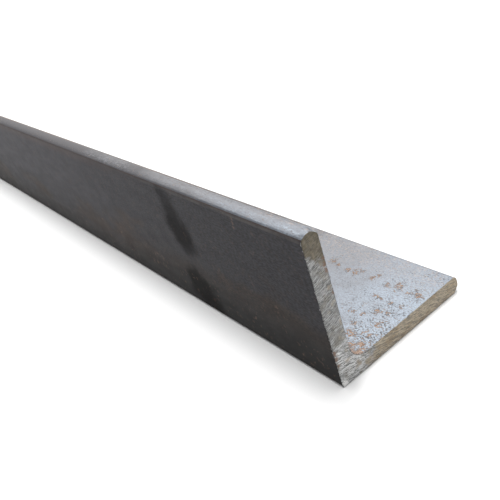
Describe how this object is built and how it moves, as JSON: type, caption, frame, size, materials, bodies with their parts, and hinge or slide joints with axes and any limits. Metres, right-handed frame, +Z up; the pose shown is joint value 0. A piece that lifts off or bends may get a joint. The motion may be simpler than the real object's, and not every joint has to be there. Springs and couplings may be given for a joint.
{
  "type": "equal-leg steel angle bar",
  "caption": "Straight length of hot-rolled steel angle with an L-shaped section, rounded inner root and toes, and square sawn ends.",
  "frame": {"origin": "middle of the bar's length, under the middle of the flat leg, at floor level", "axes": "+X along the bar; +Z up, along the upright leg from heel to toe; +Y along the flat leg from heel to toe, so the upright leg's outer face looks along -Y"},
  "size_m": [1, 0.045, 0.045],
  "materials": {
    "mill_scale_steel": "hot rolled, with blue-grey mill scale on the rolled faces, specks of rust, and bare sawn ends"
  },
  "bodies": {
    "root": {"steel_angle": "mill_scale_steel"}
  },
  "joints": []
}
